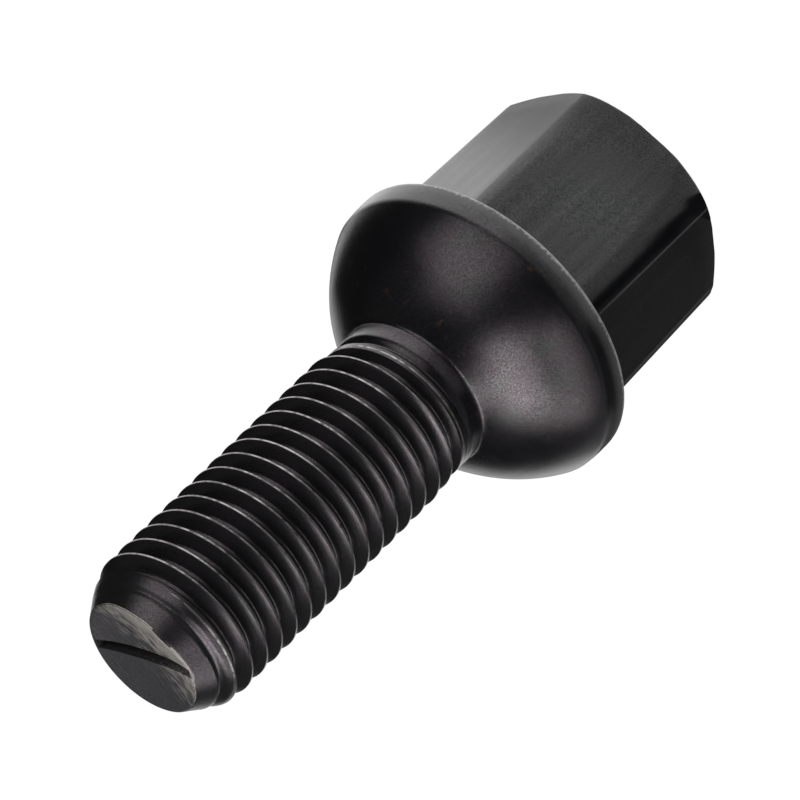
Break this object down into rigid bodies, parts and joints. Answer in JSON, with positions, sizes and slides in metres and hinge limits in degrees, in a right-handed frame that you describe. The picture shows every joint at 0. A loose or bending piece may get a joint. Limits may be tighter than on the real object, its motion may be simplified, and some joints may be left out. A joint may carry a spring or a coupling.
{
  "type": "wheel bolt",
  "caption": "Black steel wheel bolt with a hexagon head, a flange with a rounded ball seat, a plain neck and a threaded shank with a slotted tip.",
  "frame": {"origin": "centre of the head's end face, which the bolt stands on", "axes": "+Z along the bolt's axis from the head to the tip; a flat of the hexagon faces -Y"},
  "size_m": [0.0232, 0.023, 0.0509],
  "materials": {
    "black_steel": "black oxide, satin, worn on the thread's crests"
  },
  "bodies": {
    "root": {"wheel_bolt": "black_steel"}
  },
  "joints": []
}
